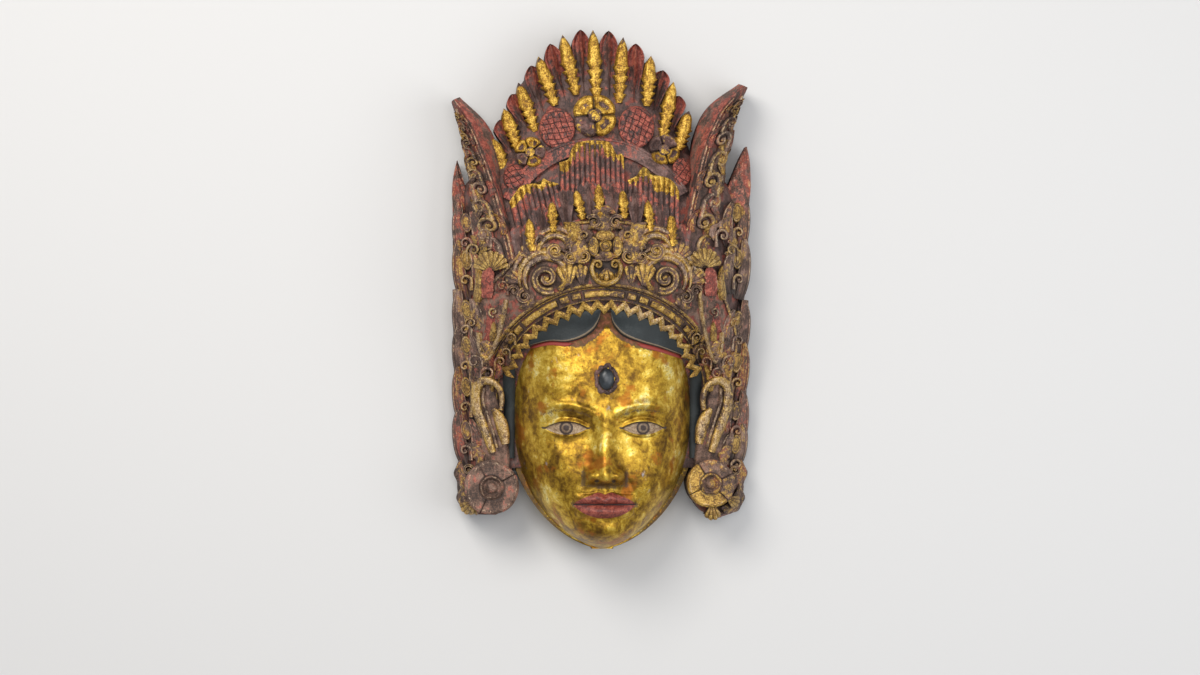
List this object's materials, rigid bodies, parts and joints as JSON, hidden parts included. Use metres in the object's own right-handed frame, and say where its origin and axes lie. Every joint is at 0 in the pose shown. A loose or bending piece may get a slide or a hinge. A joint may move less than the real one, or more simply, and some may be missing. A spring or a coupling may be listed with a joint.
{
  "type": "topeng mask",
  "caption": "Carved and painted wooden dance mask with a calm face, jewelled diadem, scalloped combs and a tall fan-shaped leaf crown, hollow behind, lying on its back.",
  "frame": {"origin": "middle of the bounding box, on the plane of the flat back rim that the mask lies on", "axes": "+X across the face towards the viewer's right when looked down on, +Y from the chin to the top of the crown, +Z from the flat back rim to the nose"},
  "size_m": [0.2508, 0.4338, 0.118],
  "materials": {
    "painted_wood": "worn gilding and dull red paint over old carved wood",
    "dark_stone": "dark polished oval stone"
  },
  "bodies": {
    "root": {"mask": "painted_wood", "brow_stone": "dark_stone"}
  },
  "joints": []
}
